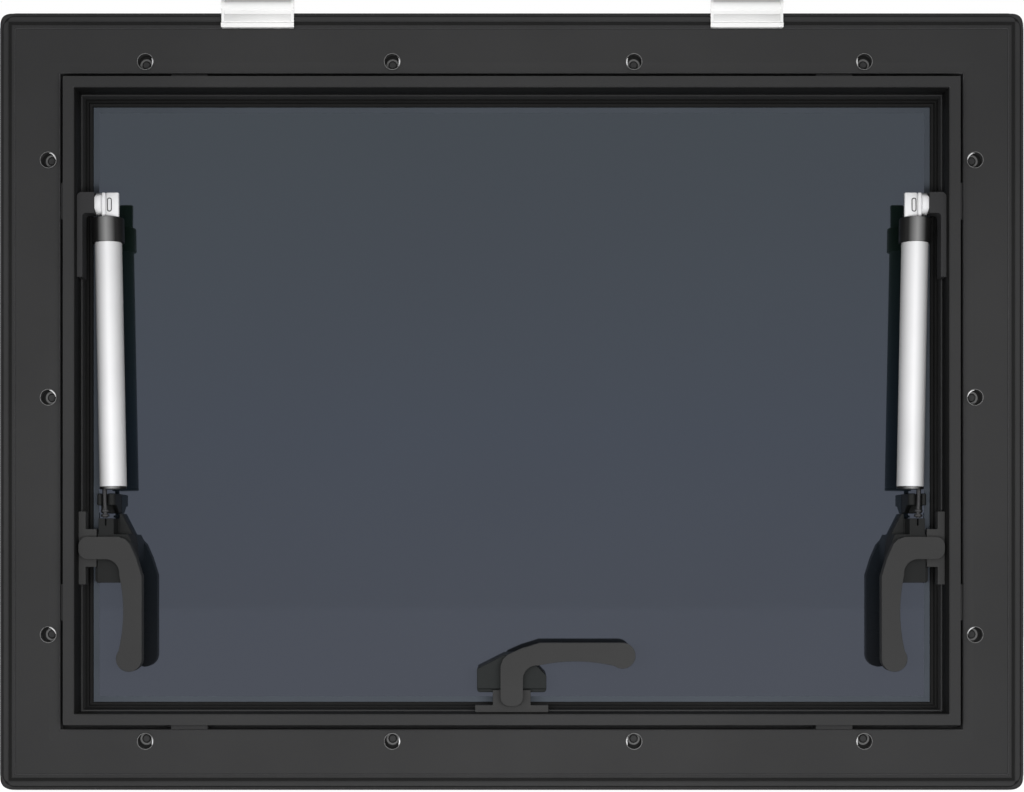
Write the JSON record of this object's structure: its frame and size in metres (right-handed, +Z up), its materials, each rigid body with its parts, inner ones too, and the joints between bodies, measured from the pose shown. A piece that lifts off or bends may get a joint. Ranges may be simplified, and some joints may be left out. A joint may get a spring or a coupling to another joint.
{
  "type": "caravan window",
  "caption": "Top-hung caravan window with a mitred aluminium frame, an inner clamp frame, tinted double panes, two telescopic stays and turn latches.",
  "frame": {"origin": "on the flange face that beds on the outside of the wall, midway along its bottom strip", "axes": "+Z up, +X to the right as seen from inside the caravan, +Y out through the wall"},
  "size_m": [0.564, 0.051, 0.4385],
  "materials": {
    "frame_metal": "dark grey satin powder coat",
    "clamp_metal": "dark grey satin powder coat",
    "seal_rubber": "matte black rubber",
    "tinted_pane": "dark tinted acrylic",
    "spacer_black": "matte black",
    "bracket_metal": "dark grey satin",
    "bright_metal": "bright satin",
    "gloss_black": "gloss black",
    "satin_tube": "satin anodised",
    "rod_steel": "drawn steel",
    "latch_plastic": "dark grey moulded",
    "handle_plastic": "mid grey moulded, fine grain",
    "striker_plastic": "mid grey moulded",
    "clip_plastic": "white moulded"
  },
  "bodies": {
    "window": {"outer_frame_top": "frame_metal", "outer_frame_bottom": "frame_metal", "outer_frame_left": "frame_metal", "outer_frame_right": "frame_metal", "clamp_frame_top": "clamp_metal", "clamp_frame_bottom": "clamp_metal", "clamp_frame_left": "clamp_metal", "clamp_frame_right": "clamp_metal", "frame_gasket": "seal_rubber", "weather_seal": "seal_rubber", "hinge_rail": "frame_metal", "hinge_leaf": "frame_metal", "outer_pane": "tinted_pane", "pane_spacer": "spacer_black", "inner_pane": "tinted_pane", "stay_bracket_left": "bracket_metal", "stay_pivot_left": "bright_metal", "stay_collar_left": "gloss_black", "stay_tube_left": "satin_tube", "stay_end_cap_left": "gloss_black", "stay_rod_left": "rod_steel", "stay_anchor_left": "latch_plastic", "stay_bracket_right": "bracket_metal", "stay_pivot_right": "bright_metal", "stay_collar_right": "gloss_black", "stay_tube_right": "satin_tube", "stay_end_cap_right": "gloss_black", "stay_rod_right": "rod_steel", "stay_anchor_right": "latch_plastic", "latch_base_left": "latch_plastic", "latch_striker_left": "striker_plastic", "latch_base_right": "latch_plastic", "latch_striker_right": "striker_plastic", "latch_base_bottom": "latch_plastic", "latch_striker_bottom": "striker_plastic", "top_clip_left": "clip_plastic", "top_clip_right": "clip_plastic"},
    "left_handle": {"latch_handle_left": "handle_plastic"},
    "right_handle": {"latch_handle_right": "handle_plastic"},
    "bottom_handle": {"latch_handle_bottom": "handle_plastic"}
  },
  "joints": [
    {"name": "left_handle_turn", "type": "hinge", "parent": "window", "child": "left_handle", "pos_m": [-0.2225, -0.0345, 0.1089], "axis": [0, -1, 0], "range_deg": [0, 90]},
    {"name": "right_handle_turn", "type": "hinge", "parent": "window", "child": "right_handle", "pos_m": [0.2225, -0.0345, 0.1089], "axis": [0, 1, 0], "range_deg": [0, 90]},
    {"name": "bottom_handle_turn", "type": "hinge", "parent": "window", "child": "bottom_handle", "pos_m": [0, -0.0345, 0.0374], "axis": [0, -1, 0], "range_deg": [0, 90]}
  ]
}
